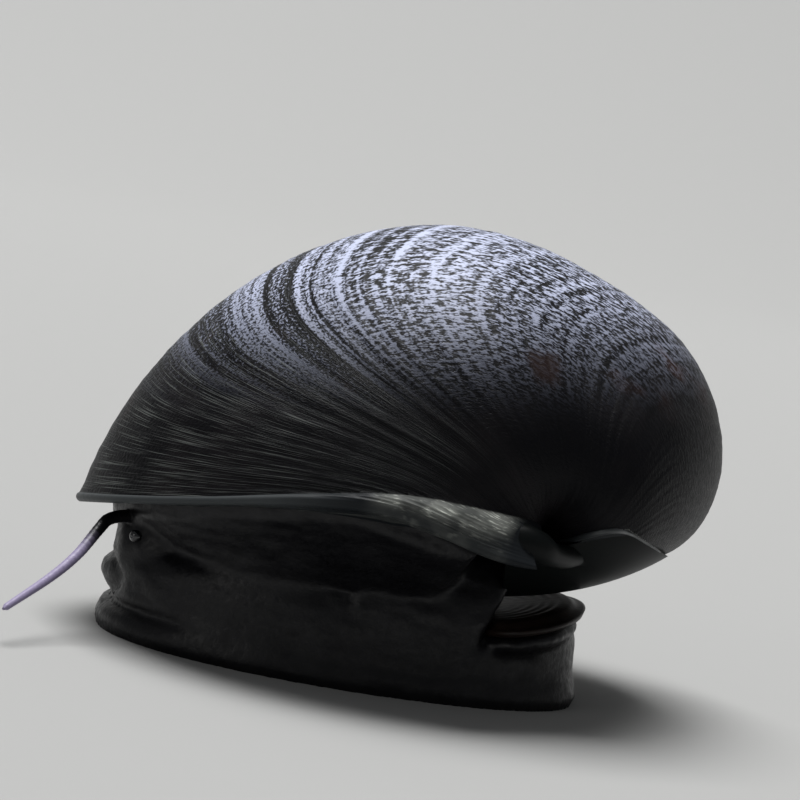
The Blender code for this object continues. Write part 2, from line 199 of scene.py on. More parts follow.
def ridge_height(angle, along):
    """How far the surface stands out in mm, from uneven growth ridges 0.4 to 0.9 mm apart."""
    line = growth_line(angle, along)
    wander = 1.3 * noise.noise(Vector((line * 0.11, along * 5.0, 1.7)))
    fine = noise.noise(Vector((line * 0.62 + wander, along * 2.0, 4.1)))
    coarse = noise.noise(Vector((line * 0.21 + wander, along * 1.5, 8.3)))
    return RIDGE_HEIGHTS[0] * fine + RIDGE_HEIGHTS[1] * coarse


def roll_share(angle, along):
    """How far across the rolled lip a place lies: 0 on the edge and 1 at the crease behind it."""
    crease = ROLL_DEGREES + ROLL_DEGREES_AT_BASE * math.exp(-along / 0.045)
    return math.degrees(angle) / crease


def roll_height(angle, along):
    """How far the rolled lip stands out in mm: a low bead, broad and thick by the columella."""
    share = roll_share(angle, along)
    thick = ROLL_THICKNESS + ROLL_THICKNESS_AT_BASE * math.exp(-((along / 0.16) ** 2))
    return thick * eased(share, -0.3, 0.45) * (1 - min(share, 1.0) ** 5)


def start_ring(bm, points):
    """A closed loop of corners joined by edges."""
    corners = [bm.verts.new(point) for point in points]
    for a, b in zip(corners, corners[1:] + corners[:1]):
        bm.edges.new((a, b))
    return corners


def extrude_ring(bm, corners, points):
    """Extrudes a loop of corners and moves the copies to the points."""
    edges = [bm.edges.get(pair) for pair in zip(corners, corners[1:] + corners[:1])]
    made = bmesh.ops.extrude_edge_only(bm, edges=edges)["geom"]
    fresh = {v for v in made if isinstance(v, bmesh.types.BMVert)}
    copies = []
    for corner, point in zip(corners, points):
        across = [edge.other_vert(corner) for edge in corner.link_edges]
        copy = next(vert for vert in across if vert in fresh)
        copy.co = point
        copies.append(copy)
    return copies


def close_end(bm, corners):
    """Caps a loop of corners with a fan of triangles round its middle."""
    cap = bm.faces.new(corners)
    bmesh.ops.poke(bm, faces=[cap])


def loft(rings):
    """A closed solid skinned over rings that have the same number of points."""
    bm = bmesh.new()
    corners = start_ring(bm, rings[0])
    first = corners
    for points in rings[1:]:
        corners = extrude_ring(bm, corners, points)
    close_end(bm, first)
    close_end(bm, corners)
    return bm


def add_object(name, bm, finish=None):
    """A smooth-shaded object from a bmesh, which is freed."""
    bmesh.ops.recalc_face_normals(bm, faces=bm.faces)
    mesh = bpy.data.meshes.new(name)
    bm.to_mesh(mesh)
    bm.free()
    mesh.shade_smooth()
    made = bpy.data.objects.new(name, mesh)
    bpy.context.scene.collection.objects.link(made)
    if finish:
        mesh.materials.append(finish)
    return made


def horn(name, count, angles, share=1.0):
    """One length of the spiral, drawn as a sheet of growth lines by lip places, then closed."""
    section = whorl_section(count)
    middle = sum(section, Vector()) / len(section)
    bm = bmesh.new()
    growth = bm.verts.layers.float.new("growth")
    along = bm.verts.layers.float.new("along")
    columns, rows = len(section) + 1, len(angles)
    bmesh.ops.create_grid(bm, x_segments=columns - 1, y_segments=rows - 1, size=1.0)
    corners = sorted(bm.verts, key=lambda v: (round(v.co.y * rows), v.co.x))
    for row, angle in enumerate(angles):
        curl = LIP_ROUNDING * max(0.0, 1 - angle / LIP_ROUNDED_OVER) ** 2
        ring = [point + (middle - point).normalized() * curl for point in section]
        ring = grown(ring, angle, share)
        for step, point in enumerate([*ring, ring[0]]):
            corner = corners[row * columns + step]
            corner.co = point
            corner[growth] = angle
            corner[along] = (step / (count - 1)) ** LIP_GRADE if step < count else 2.0
    bmesh.ops.remove_doubles(bm, verts=bm.verts, dist=1e-7)
    bmesh.ops.holes_fill(bm, edges=[edge for edge in bm.edges if edge.is_boundary])
    bmesh.ops.recalc_face_normals(bm, faces=bm.faces)
    bm.normal_update()
    for corner in [corner for corner in bm.verts if corner[along] <= 1.0]:
        fade = eased(corner[growth], 0.0, math.radians(3)) * eased(corner[along], 0.0, 0.06)
        height = fade * ridge_height(corner[growth], corner[along]) * size_at(corner[growth])
        height += roll_height(corner[growth], corner[along]) * eased(corner[along], -0.02, 0.04)
        corner.co += corner.normal * height * MM
    return add_object(name, bm)


def boolean(target, others, operation):
    """Applies one Boolean of closed meshes to the target, then removes them."""
    tools = bpy.data.collections.new("tools")
    bpy.context.scene.collection.children.link(tools)
    for other in others:
        tools.objects.link(other)
    cut = target.modifiers.new("join", "BOOLEAN")
    cut.operation = operation
    cut.operand_type = "COLLECTION"
    cut.collection = tools
    cut.solver = "MANIFOLD"
    bpy.context.view_layer.update()
    graph = bpy.context.evaluated_depsgraph_get()
    joined = bpy.data.meshes.new_from_object(target.evaluated_get(graph), depsgraph=graph)
    target.modifiers.clear()
    target.data = joined
    for other in others:
        bpy.data.objects.remove(other)
    bpy.data.collections.remove(tools)
    keep_outer_surface(target)


def keep_outer_surface(made):
    """Drops the closed bubbles and crumbs that a join can leave, so one surface stays."""
    bm = bmesh.new()
    bm.from_mesh(made.data)
    left = set(bm.faces)
    surfaces = []
    while left:
        found = {left.pop()}
        edge_of_search = list(found)
        while edge_of_search:
            face = edge_of_search.pop()
            near = {f for e in face.edges for f in e.link_faces} & left
            left -= near
            found |= near
            edge_of_search += near
        surfaces.append(found)
    surfaces.sort(key=len)
    crumbs = [face for surface in surfaces[:-1] for face in surface]
    bmesh.ops.delete(bm, geom=crumbs, context="FACES")
    bm.to_mesh(made.data)
    bm.free()


def blob(centre, half_size, rings=16, segments=24):
    """An egg shape with its poles at the two ends of x."""
    bm = bmesh.new()
    bmesh.ops.create_uvsphere(bm, u_segments=segments, v_segments=rings, radius=MM)
    bmesh.ops.rotate(bm, verts=bm.verts, matrix=Matrix.Rotation(math.radians(90), 3, "Y"))
    bmesh.ops.scale(bm, verts=bm.verts, vec=half_size)
    bmesh.ops.translate(bm, verts=bm.verts, vec=centre)
    return bm


def cut_flat(bm, point, normal):
    """Removes what lies on the normal's side of a plane and closes the cut."""
    geometry = [*bm.verts, *bm.edges, *bm.faces]
    plane = {"plane_co": point, "plane_no": normal}
    cut = bmesh.ops.bisect_plane(bm, geom=geometry, clear_outer=True, **plane)
    rim = [e for e in cut["geom_cut"] if isinstance(e, bmesh.types.BMEdge)]
    bmesh.ops.contextual_create(bm, geom=rim)


def mouth_outline(inset, count=120):
    """The mouth's D shape, drawn in from the lip by the inset."""
    lip = mouth_lip(count - 12)
    outline = [*lip, *(lip[-1].lerp(lip[0], step / 13) for step in range(1, 13))]
    middle = sum(outline, Vector()) / count
    drawn_in = []
    for point in outline:
        spoke = point - middle
        drawn_in.append(middle + spoke * (1 - inset / spoke.length))
    return drawn_in


def block(low, high, turn=None, place=None):
    """A box between two opposite corners in mm, then turned and moved to its place."""
    low, high = Vector(low) * MM, Vector(high) * MM
    bm = bmesh.new()
    bmesh.ops.create_cube(bm, size=1.0)
    bmesh.ops.scale(bm, verts=bm.verts, vec=high - low)
    bmesh.ops.translate(bm, verts=bm.verts, vec=(low + high) / 2)
    if turn:
        bmesh.ops.rotate(bm, verts=bm.verts, matrix=turn)
        bmesh.ops.translate(bm, verts=bm.verts, vec=place)
    return bm


LIP_WALL = 0.5 * MM
MOUTH_DEPTH = math.radians(16)
DECK_EDGE = 16.7 * MM
DECK_CENTRE = Vector((18.0, -0.3, 0.55)) * MM
DECK_HALF_SIZE = (7.6, 6.3, 4.2)
DECK_TILT = math.radians(5.7)
CALLUS_LINE = Vector((20.6, -6.0, -0.94)) * MM
CALLUS_NORMAL = Vector((-0.2, 0.27, 0.94)).normalized()
CALLUS_FALL = Vector((21.72, -5.5, -1.08)) * MM
CALLUS_FALL_NORMAL = Vector((0.568, 0, 0.823))
CORD_PATH = (
    (15.4, -7.6, -0.6),
    (16.9, -7.75, -0.95),
    (17.75, -7.5, -1.25),
    (18.3, -6.8, -1.6),
    (19.1, -5.3, -1.8),
    (20.2, -3.2, -1.7),
)
CORD_RADII = (0.3, 0.66, 0.6, 0.48, 0.42, 0.3)
LIP_POINTS = (140, 80, 40)
MIDDLE_WHORL_SIZE = 0.985
EARLY_WHORL_SIZE = 0.95
PLAIN = 3.0
NO_GROWTH = -1.0
RUST_SPOT = Vector((5.72, -6.54, 13.45)) * MM
# Heights over which the painted top light rises up the shell, where the overhead lamp falls on it.
PAINTED_TOP_LIGHT_FROM, PAINTED_TOP_LIGHT_TO = 8.7 * MM, 15.5 * MM
HORN_BLACK = ((0.003, 0.003, 0.004), (0.008, 0.007, 0.008))
RUST_BROWN = (0.05, 0.018, 0.01)
STAIN_BROWN = (0.016, 0.009, 0.008)
STRIA_GREY = (0.16, 0.175, 0.165)
# Violet-grey flecks: partly the horn's own colour, partly painted glints of the overhead lamp.
FLECK_AND_GLINT_VIOLET = (0.53, 0.57, 0.74)
# Slate lip, dark at its broad end by the columella and lighter on the thin lip: partly its own
# grey, partly a painted edge highlight.
LIP_SLATE_AND_EDGE_HIGHLIGHT = ((0.012, 0.014, 0.016), (0.045, 0.05, 0.052))
FILM_GREY = (0.62, 0.64, 0.58)
CALLUS_BLACK = (0.004, 0.005, 0.005)


def steps(first, last, step):
    """Angles from first to last degree, in radians."""
    count = round((last - first) / step)
    return [math.radians(first + (last - first) * n / count) for n in range(count + 1)]


def deck():
    """The flat callus that closes the back of the mouth from below."""
    bm = blob(Vector(), DECK_HALF_SIZE, 48, 96)
    bmesh.ops.rotate(bm, verts=bm.verts, matrix=Matrix.Rotation(-DECK_TILT, 3, "Y"))
    bmesh.ops.translate(bm, verts=bm.verts, vec=DECK_CENTRE)
    cut_flat(bm, Vector((DECK_EDGE, 0, 0)), Vector((-1, 0, 0)))
    cut_flat(bm, CALLUS_LINE, CALLUS_NORMAL)
    cut_flat(bm, CALLUS_FALL, CALLUS_FALL_NORMAL)
    return bm


def marked(made, along=PLAIN, growth=NO_GROWTH):
    """Gives a helper mesh the same two measures as the spiral, so that the finish can tell it."""
    for name, value in (("along", along), ("growth", growth)):
        layer = made.data.attributes.new(name, "FLOAT", "POINT")
        layer.data.foreach_set("value", [value] * len(made.data.vertices))
    return made


def tube(curve, radii, sides):
    """A closed tube round a curve, with a radius at each of its points."""
    rings = []
    for step, centre in enumerate(curve):
        ahead = curve[min(step + 1, len(curve) - 1)] - curve[max(step - 1, 0)]
        across = ahead.cross(Vector((0, 0, 1))).normalized()
        up = across.cross(ahead).normalized()
        ring = []
        for corner in range(sides):
            turn = 2 * math.pi * corner / sides
            ring.append(centre + radii[step] * (across * math.cos(turn) + up * math.sin(turn)))
        rings.append(ring)
    return loft(rings)


def callus_cord():
    """The rounded end of the rolled lip, which runs on behind the columella into the callus."""
    curve = smooth_curve([Vector(point) * MM for point in CORD_PATH], 12)
    return tube(curve, smooth_curve([radius * MM for radius in CORD_RADII], 12), 32)


def mouth_hollow():
    """The room behind the lip, as deep as the mouth."""
    outline = mouth_outline(LIP_WALL)
    return loft([grown(outline, MOUTH_DEPTH * share) for share in (-0.5, 0, 0.4, 0.7, 1.0)])


shell = horn("shell_skin", LIP_POINTS[0], steps(0, 6, 0.15) + steps(6.5, 240, 0.5))
middle_whorl = horn("middle_whorl", LIP_POINTS[1], steps(228, 468, 3), MIDDLE_WHORL_SIZE)
early_whorl = horn("early_whorl", LIP_POINTS[2], steps(456, 696, 5), EARLY_WHORL_SIZE)
boolean(shell, [middle_whorl, early_whorl], "UNION")
to_callus = Vector((0, 0, 1)).rotation_difference(CALLUS_NORMAL).to_matrix()
under = block((-3.1, -9, -8), (12, 9, 0), to_callus, CALLUS_LINE)
cut_flat(under, CALLUS_FALL, CALLUS_FALL_NORMAL)
boolean(shell, [marked(add_object("under", under))], "DIFFERENCE")
apex = blob(POLE + COIL_AXIS * (SPIRE_RISE - 0.1 * MM), (0.6, 0.6, 0.6), 24, 36)
cord = marked(add_object("cord", callus_cord()), 0.0)
apex = marked(add_object("apex", apex), 0.6, math.radians(690))
boolean(shell, [apex, cord, marked(add_object("callus", deck()))], "UNION")
boolean(shell, [marked(add_object("hollow", mouth_hollow()))], "DIFFERENCE")
shell.data.transform(RIM_TO_WORLD)


class Finish:
    """A material's node tree, built a node at a time."""

    def __init__(self, name):
        self.material = bpy.data.materials.new(name)
        self.material.use_nodes = True
        self.tree = self.material.node_tree
        self.shader = self.tree.nodes["Principled BSDF"]

    def node(self, kind, inputs=(), **settings):
        """A new node with its settings and with its inputs given as values or as sockets."""
        made = self.tree.nodes.new(kind)
        for key, value in settings.items():
            setattr(made, key, value)
        for key, value in dict(inputs).items():
            self.feed(made.inputs[key], value)
        return made

    def feed(self, socket, value):
        if isinstance(value, bpy.types.NodeSocket):
            self.tree.links.new(value, socket)
        else:
            socket.default_value = value

    def maths(self, operation, a, b=0.0, c=0.0):
        return self.node("ShaderNodeMath", {0: a, 1: b, 2: c}, operation=operation).outputs[0]

    def attribute(self, name):
        return self.node("ShaderNodeAttribute", attribute_name=name).outputs["Fac"]

    def place(self):
        return self.node("ShaderNodeTexCoord").outputs["Object"]

    def level(self, upwards):
        """The distance along a direction, in metres."""
        inputs = {0: self.place(), 1: upwards}
        return self.node("ShaderNodeVectorMath", inputs, operation="DOT_PRODUCT").outputs["Value"]

    def vector(self, x, y, z=0.0, scales=(1.0, 1.0)):
        """A place made of two measures, each scaled."""
        x, y = (self.maths("MULTIPLY", part, scale) for part, scale in zip((x, y), scales))
        return self.node("ShaderNodeCombineXYZ", {"X": x, "Y": y, "Z": z}).outputs[0]

    def noise(self, where, scale, detail=2.0, roughness=0.5):
        inputs = {"Vector": where, "Scale": scale, "Detail": detail, "Roughness": roughness}
        return self.node("ShaderNodeTexNoise", inputs).outputs["Fac"]

    def ramp(self, value, low, high, to_low=0.0, to_high=1.0):
        inputs = {"Value": value, "From Min": low, "From Max": high}
        inputs |= {"To Min": to_low, "To Max": to_high}
        made = self.node("ShaderNodeMapRange", inputs, interpolation_type="SMOOTHSTEP")
        return made.outputs["Result"]

    def blend(self, share, first, second):
        """A colour between two colours."""
        made = self.node("ShaderNodeMix", data_type="RGBA")
        for key, value in ((0, share), (6, first), (7, second)):
            if isinstance(value, tuple):
                value = (*value, 1.0)
            self.feed(made.inputs[key], value)
        return made.outputs[2]

    def set(self, **inputs):
        for key, value in inputs.items():
            name = key.replace("_", " ")
            if isinstance(value, tuple):
                value = (*value, 1.0)
            self.feed(self.shader.inputs[name], value)

    def bump(self, height, depth, strength=1.0):
        """Bumps of that depth in metres, as the height runs from 0 to 1."""
        inputs = {"Height": height, "Distance": depth, "Strength": strength}
        self.feed(self.shader.inputs["Normal"], self.node("ShaderNodeBump", inputs).outputs[0])


def shell_black():
    """Satin black horn with violet-grey flecks, partly its own colour and partly painted glints
    that grow brighter upwards as a painted highlight; a smooth grey rolled lip, lighter on its thin
    part from a painted edge highlight over its own grey.
    """
    finish = Finish("shell_black")
    line, along, roll, growth = map(finish.attribute, ("line", "along", "roll", "growth"))
    height = finish.level(RIM_UP)
    outside = finish.ramp(along, 1.3, 1.1)
    ribbed = finish.maths("MULTIPLY", outside, finish.ramp(roll, 0.97, 1.05))
    # Painted top light: a ramp up the shell's height where the overhead lamp falls. It brightens
    # the flecks into a painted highlight and keeps the rust to the lit upper side.
    high = finish.ramp(height, PAINTED_TOP_LIGHT_FROM, PAINTED_TOP_LIGHT_TO)
    fleck_and_glint, grain = shell_flecks(finish, line, along)
    cloud = finish.noise(finish.place(), 260.0, 3.0)
    spot = rust_spot(finish)
    # The flecks' strength follows the painted top light, so high on the side they show as a painted
    # highlight of glints.
    fleck_and_glint = finish.maths("MULTIPLY", fleck_and_glint, finish.maths("POWER", high, 2.1))
    fleck_and_glint = finish.maths("MULTIPLY", fleck_and_glint, finish.maths("MULTIPLY_ADD", spot, -0.8, 1.0))
    fleck_and_glint = finish.maths("MULTIPLY", fleck_and_glint, finish.ramp(line, 6.0, 40.0))
    stria = finish.noise(finish.vector(line, along, 0.0, (5.5, 12.0)), 1.0, 2.0, 0.6)
    stria = finish.maths("MULTIPLY", finish.ramp(stria, 0.54, 0.7), finish.ramp(line, 80.0, 20.0))
    stria = finish.maths("MULTIPLY", stria, finish.ramp(along, 0.04, 0.14))
    rust = finish.ramp(finish.noise(finish.place(), 420.0, 2.0), 0.58, 0.72)
    rust = finish.maths("MULTIPLY", rust, finish.ramp(height, 14.0 * MM, 11.0 * MM))
    body = finish.blend(finish.ramp(cloud, 0.45, 0.75), *HORN_BLACK)
    body = finish.blend(finish.maths("MULTIPLY", rust, high), body, RUST_BROWN)
    body = finish.blend(spot, body, STAIN_BROWN)
    body = finish.blend(finish.maths("MULTIPLY", stria, 0.6), body, STRIA_GREY)
    body = finish.blend(fleck_and_glint, body, FLECK_AND_GLINT_VIOLET)
    # The thin lip is lighter than its broad end: partly its own grey, partly a painted edge
    # highlight.
    lip = finish.blend(finish.ramp(along, 0.12, 0.2), *LIP_SLATE_AND_EDGE_HIGHLIGHT)
    lip = finish.blend(slime(finish, growth, along, roll), lip, FILM_GREY)
    laid_down = finish.maths("MULTIPLY", outside, finish.ramp(roll, -0.4, 0.0))
    lip = finish.blend(laid_down, CALLUS_BLACK, lip)
    finish.set(Base_Color=finish.blend(ribbed, lip, body))
    finish.set(Roughness=finish.ramp(grain, 0.3, 0.7, 0.5, 0.38))
    finish.shader.inputs["Specular IOR Level"].default_value = 0.09
    relief = finish.maths("MULTIPLY_ADD", grain, 0.6, finish.maths("MULTIPLY", stria, 0.4))
    finish.bump(finish.maths("MULTIPLY", relief, ribbed), 0.05 * MM)
    return finish.material


def rust_spot(finish):
    """One dark red-brown stain with a ragged edge, high on the left side."""
    inputs = {0: finish.place(), 1: RUST_SPOT}
    away = finish.node("ShaderNodeVectorMath", inputs, operation="DISTANCE")
    ragged = finish.maths("MULTIPLY", finish.noise(finish.place(), 1500.0, 3.0), 1.2 * MM)
    return finish.ramp(finish.maths("ADD", away.outputs["Value"], ragged), 1.6 * MM, 1.1 * MM)


def slime(finish, growth, along, roll):
    """Grey-green film on the broad part of the rolled lip, with short pale streaks along it."""
    start, end = finish.ramp(along, 0.025, 0.04), finish.ramp(along, 0.125, 0.1)
    patch = finish.maths("MULTIPLY", start, end)
    streak_at = finish.vector(growth, along, 0.0, (36.0, 90.0))
    streak = finish.ramp(finish.noise(streak_at, 1.0, 2.0, 0.6), 0.54, 0.7, 0.3, 1.0)
    blotch = finish.ramp(finish.noise(finish.place(), 900.0, 2.0), 0.35, 0.6, 0.35, 1.0)
    patch = finish.maths("MULTIPLY", patch, finish.ramp(roll, 0.1, 0.6, 0.2, 1.0))
    return finish.maths("MULTIPLY", patch, finish.maths("MULTIPLY", streak, blotch))


def shell_flecks(finish, line, along):
    """Light ground broken by short dark dashes across the growth lines, and grainy growth bands."""
    wobble = finish.noise(finish.vector(line, along, 0.0, (0.12, 1.0)), 3.0)
    bent = finish.maths("MULTIPLY_ADD", wobble, 2.5, line)
    band = finish.noise(finish.vector(bent, along, 0.0, (0.42, 1.2)), 1.0, 2.0, 0.6)
    dash = finish.noise(finish.vector(line, along, 0.0, (0.37, 240.0)), 1.0, 2.0, 0.65)
    grain = finish.noise(finish.vector(line, along, 0.0, (1.7, 300.0)), 1.0, 2.0, 0.6)
    fine = finish.noise(finish.vector(line, along, 0.0, (1.1, 480.0)), 1.0, 1.0)
    dash = finish.maths("MULTIPLY_ADD", finish.maths("SUBTRACT", fine, 0.5), 0.5, dash)
    dashed = finish.ramp(line, 45.0, 75.0)
    mixed = finish.node("ShaderNodeMix", {0: dashed, 2: grain, 3: dash}).outputs[0]
    share = finish.ramp(line, 40.0, 110.0, 0.9, 0.3)
    tone = finish.maths("MULTIPLY_ADD", finish.maths("SUBTRACT", band, 0.5), share, mixed)
    return finish.ramp(tone, 0.43, 0.62), mixed


def mark_growth_lines(made):
    """Stores each place's growth line and its share across the rolled lip, for the finish."""
    measures = made.data.attributes
    for name in ("line", "roll"):
        measures.new(name, "FLOAT", "POINT")
    growth, along, line, roll = (measures[n].data for n in ("growth", "along", "line", "roll"))
    for n in range(len(made.data.vertices)):
        line[n].value = growth_line(growth[n].value, along[n].value)
        roll[n].value = min(roll_share(growth[n].value, along[n].value), 2.0)


mark_growth_lines(shell)
shell.data.materials.clear()
shell.data.materials.append(shell_black())
shell.data.shade_smooth()
shell.data.set_sharp_from_angle(angle=math.radians(40))
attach(shell, "root")
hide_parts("shell")

# The edge of the callus: a thin raised bead of grey-white enamel, laid down by the mantle
# where the flat callus meets the base. It follows the shell's own surface and is part of it.
CALLUS_EDGE = (
    (18.75, -1.25),
    (19.15, -1.17),
    (19.8, -0.9),
    (20.5, -0.74),
    (21.1, -0.78),
    (21.77, -1.13),
    (22.45, -1.6),
    (22.7, -1.78),
)
BEAD_POINTS = 90
BEAD_RADIUS = 0.09
ENAMEL = ((0.015, 0.018, 0.02), (0.16, 0.17, 0.17))


def callus_bead():
    """The bead, dropped onto the near side of the base and thicker at its start."""
    bpy.context.view_layer.update()
    to_rim = RIM_TO_WORLD.inverted()
    inwards = RIM_TO_WORLD.to_3x3() @ Vector((0, 1, 0))
    path = smooth_curve([Vector((x, -14.0, z)) * MM for x, z in CALLUS_EDGE], 12)
    path = [to_rim @ shell.ray_cast(RIM_TO_WORLD @ place, inwards)[1] for place in path]
    for _ in range(20):
        middle = [(a + 2 * b + c) / 4 for a, b, c in zip(path, path[1:], path[2:])]
        path = [path[0], *middle, path[-1]]
    path = evenly(path, BEAD_POINTS)
    radii = []
    for n in range(BEAD_POINTS):
        full = BEAD_RADIUS + BEAD_RADIUS * (1 - n / BEAD_POINTS) ** 2
        ends = math.sin(math.pi * (n + 3) / (BEAD_POINTS + 5)) ** 0.6
        radii.append(full * MM * ends)
    return add_object("callus_edge", tube(path, radii, 12))


def callus_enamel():
    """Cloudy grey-white enamel, darker towards the mouth."""
    finish = Finish("callus_enamel")
    pale = finish.ramp(finish.level(Vector((1, 0, 0))), 8.0 * MM, 11.5 * MM, 0.05, 1.0)
    cloud = finish.ramp(finish.noise(finish.place(), 900.0), 0.2, 0.7)
    cloud = finish.maths("MULTIPLY", cloud, pale)
    finish.set(Base_Color=finish.blend(cloud, *ENAMEL), Roughness=0.4)
    return finish.material


bead = callus_bead()
bead.data.transform(RIM_TO_WORLD)
bead.data.materials.append(callus_enamel())
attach(bead, "root")

# The body: one soft, wet black skin over the sole, foot, neck, mantle, head and snout. It is
# laid up as overlapping lobes, fused on a fine grid, smoothed and then wrinkled. The two
# feelers and the eye stalks grow out of the head, dark at the root and pale to the tip.
SOLE_HALF_LENGTH = 9.75 * MM
SOLE_HALF_WIDTH = 6.3 * MM
TAIL_SLOPE = math.radians(15.6)
TAIL_STEP = Vector((4.4, 0, 1.95)) * MM
SADDLE_BACK = Vector((6.1, 0, 4.4)) * MM
SADDLE_LEAN = math.radians(22)
LID_PAD = Vector((6.7, -0.4, 2.6)) * MM
LID_PAD_HALF_SIZE = (2.6, 4.4, 0.8)
SNOUT_PLACE = Vector((-8.75, 0, 2.1)) * MM
SNOUT_HALF_SIZE = (1.0, 2.3, 0.68)
CHIN_HEIGHT = 1.15
SKIN_GRID = 0.14
SKIN_SOFTENING = 9
LEFT_FEELER = (
    (-7.7, -2.0, 4.1),
    (-8.3, -2.3, 4.4),
    (-8.9, -2.7, 4.5),
    (-9.45, -3.3, 4.35),
    (-9.7, -3.8, 4.0),
    (-10.2, -5.2, 3.1),
    (-10.9, -6.6, 2.3),
    (-12.1, -9.2, 1.3),
)
RIGHT_FEELER = (
    (-7.4, 2.0, 3.7),
    (-7.9, 2.6, 3.9),
    (-8.3, 3.2, 4.0),
    (-8.7, 4.0, 3.9),
    (-8.8, 4.7, 3.7),
    (-8.9, 6.2, 3.1),
    (-8.9, 8.0, 2.4),
    (-8.5, 10.9, 1.7),
)
FEELER_ROOT_RADIUS = 0.27 * MM
FEELER_TIP_RADIUS = 0.13 * MM
FEELER_POINTS = 181
FOLD_DEPTH = 0.045
PEBBLE_DEPTH = 0.012
CHIN_DEPTH = 0.26
SNOUT_CREASE_DEPTH = 0.2
SLIT_PLACE = Vector((-9.65, 0, 1.75)) * MM
SLIT_HALF_SIZE = (0.4, 0.8, 0.1)
FLESH_BLACK = ((0.003, 0.003, 0.004), (0.008, 0.008, 0.009))
FEELER_LAVENDER = (0.27, 0.235, 0.36)
STALK_RADIUS = 0.34 * MM
EYE_RADIUS = 0.24 * MM
LEFT_STALK = Vector((-8.0, -4.2, 4.0)) * MM
RIGHT_STALK = Vector((-7.4, 4.55, 3.7)) * MM
LEFT_LOOK = Vector((-0.2, -1.0, 0.2)).normalized()
RIGHT_LOOK = Vector((-0.2, 1.0, 0.2)).normalized()


def foot_ring(height, size, count=160):
    """The foot's outline, broader in front and gently waved, at a height and a size."""
    points = []
    for step in range(count):
        turn = 2 * math.pi * step / count
        x = -math.cos(turn)
        y = math.copysign(abs(math.sin(turn)) ** 0.85, math.sin(turn))
        across = SOLE_HALF_WIDTH * (1 - 0.12 * x)
        wave = noise.noise(Vector((x * 3.1, y * 3.1, height * 400)))
        wave = 1 + 0.008 * wave * min(1, height / MM)
        place = (x * SOLE_HALF_LENGTH * size * wave, y * across * size * wave, height)
        points.append(Vector(place))
    return points


def foot_lobe():
    """Sole and foot in one: a thin spreading edge below a rounder flank."""
    profile = ((0, 0.975), (0.12, 0.99), (0.35, 0.993), (0.75, 0.98), (1.2, 0.962), (1.8, 0.955))
    profile += ((2.5, 0.95), (3.1, 0.93), (3.5, 0.89), (3.7, 0.84))
    foot = add_object("foot_lobe", loft([foot_ring(z * MM, size) for z, size in profile]))
    over = block((0, -9, 0), (9, 9, 5), Matrix.Rotation(-TAIL_SLOPE, 3, "Y"), TAIL_STEP)
    boolean(foot, [add_object("over", over)], "DIFFERENCE")
    return foot


def neck_lobe():
    """The column from the foot up to the mouth of the shell."""
    top = mouth_outline(1.4 * MM)
    middle = sum(top, Vector()) / len(top)
    rings = []
    for share in (-0.35, 0.0, 0.2, 0.4, 0.6, 0.8, 1.0, 1.05, 1.1):
        ring = []
        for point in top:
            around = (point - middle).normalized()
            ahead, behind = max(-around.x, 0.0), max(around.x, 0.0)
            rise = -0.5 + 8.0 * max(share - 1.0, 0.0)
            upper = RIM_TO_WORLD @ (point + Vector((behind**4, 0, rise)) * MM)
            lower = Vector((-0.4, 0, 3.7)) * MM + around * (5.6 + 0.45 * behind + 1.9 * ahead) * MM
            lower.z = 3.7 * MM
            ring.append(lower.lerp(upper, min(share, 1.0)))
        rings.append(ring)
    return add_object("neck_lobe", loft(rings))


def mantle_lobe():
    """What fills the mouth just inside the lip."""
    outline = mouth_outline(LIP_WALL + 0.35 * MM)
    rings = []
    profile = ((0.0, 0.8), (0.06, 0.9), (0.09, 0.95), (0.14, 0.99), (0.3, 1.0), (0.55, 1.0))
    for share, size in (*profile, (0.75, 0.97)):
        ring = grown(outline, MOUTH_DEPTH * share)
        middle = sum(ring, Vector()) / len(ring)
        rings.append([RIM_TO_WORLD @ (middle + (point - middle) * size) for point in ring])
    return add_object("mantle_lobe", loft(rings))


def head_lobe():
    """The head from inside the neck forwards to its blunt front."""
    sections = (
        (-5.0, 3.4, 1.6, 5.2),
        (-6.3, 3.7, 1.5, 5.2),
        (-7.0, 3.9, 1.4, 5.15),
        (-8.1, 3.6, 1.4, 5.0),
        (-8.9, 2.9, 1.55, 4.75),
        (-9.25, 1.9, 1.9, 4.4),
    )
    rings = []
    for x, half_width, bottom, top in sections:
        middle, half_height = (top + bottom) / 2, (top - bottom) / 2
        ring = []
        for step in range(48):
            turn = 2 * math.pi * step / 48
            rise = math.copysign(abs(math.sin(turn)) ** 0.75, math.sin(turn))
            ring.append(Vector((x, half_width * math.cos(turn), middle + half_height * rise)) * MM)
        rings.append(ring)
    return add_object("head_lobe", loft(rings))


def saddle_lobe():
    """The flank behind the neck, which rises over the lid's front edge to the callus."""
    profile = ((1.5, 0.93), (2.6, 0.95), (3.4, 0.94), (4.2, 0.9), (4.8, 0.86))
    profile += ((5.6, 0.8), (6.4, 0.7))
    saddle = add_object("saddle_lobe", loft([foot_ring(z * MM, size) for z, size in profile]))
    ahead = block((-12, -9, 0), (0.5, 9, 9))
    behind = block((0, -9, -6), (9, 9, 9), Matrix.Rotation(SADDLE_LEAN, 3, "Y"), SADDLE_BACK)
    boolean(saddle, [add_object("cutter", ahead), add_object("cutter", behind)], "DIFFERENCE")
    return saddle


def lid_lobe():
    """The pad of flesh that the lid sits on."""
    pad = blob(LID_PAD, LID_PAD_HALF_SIZE, 32, 48)
    slope = Matrix.Rotation(-TAIL_SLOPE, 3, "Y")
    bmesh.ops.rotate(pad, verts=pad.verts, cent=LID_PAD, matrix=slope)
    return add_object("lid_lobe", pad)


